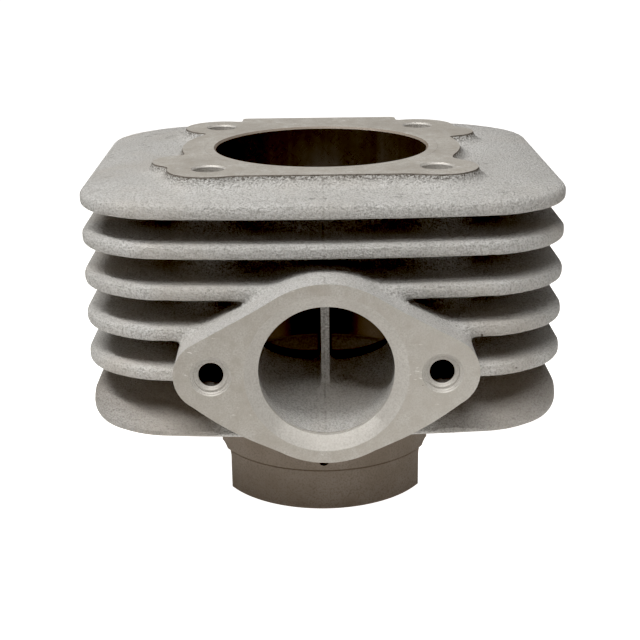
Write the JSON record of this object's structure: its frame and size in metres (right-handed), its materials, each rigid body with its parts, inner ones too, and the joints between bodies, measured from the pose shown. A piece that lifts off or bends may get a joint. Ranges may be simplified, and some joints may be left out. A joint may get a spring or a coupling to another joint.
{
  "type": "engine cylinder barrel",
  "caption": "Air-cooled two-stroke cylinder barrel with cooling fins, an iron liner, a bridged exhaust port and a bolt-on exhaust flange.",
  "frame": {"origin": "on the bore axis at the lower end of the skirt, which is the bottom centre of the whole object's box", "axes": "+Z along the bore axis from the skirt to the head gasket face, -Y out of the exhaust port, +X across the fins, to the right for someone who looks into the exhaust port"},
  "size_m": [0.101, 0.0994, 0.0775],
  "materials": {
    "cast_aluminium": "blasted casting with machined gasket faces",
    "liner_iron": "turned outside, honed bore",
    "insert_steel": "wound thread insert"
  },
  "bodies": {
    "root": {"barrel_casting": "cast_aluminium", "cylinder_liner": "liner_iron", "exhaust_thread_insert_left": "insert_steel", "exhaust_thread_insert_right": "insert_steel"}
  },
  "joints": []
}
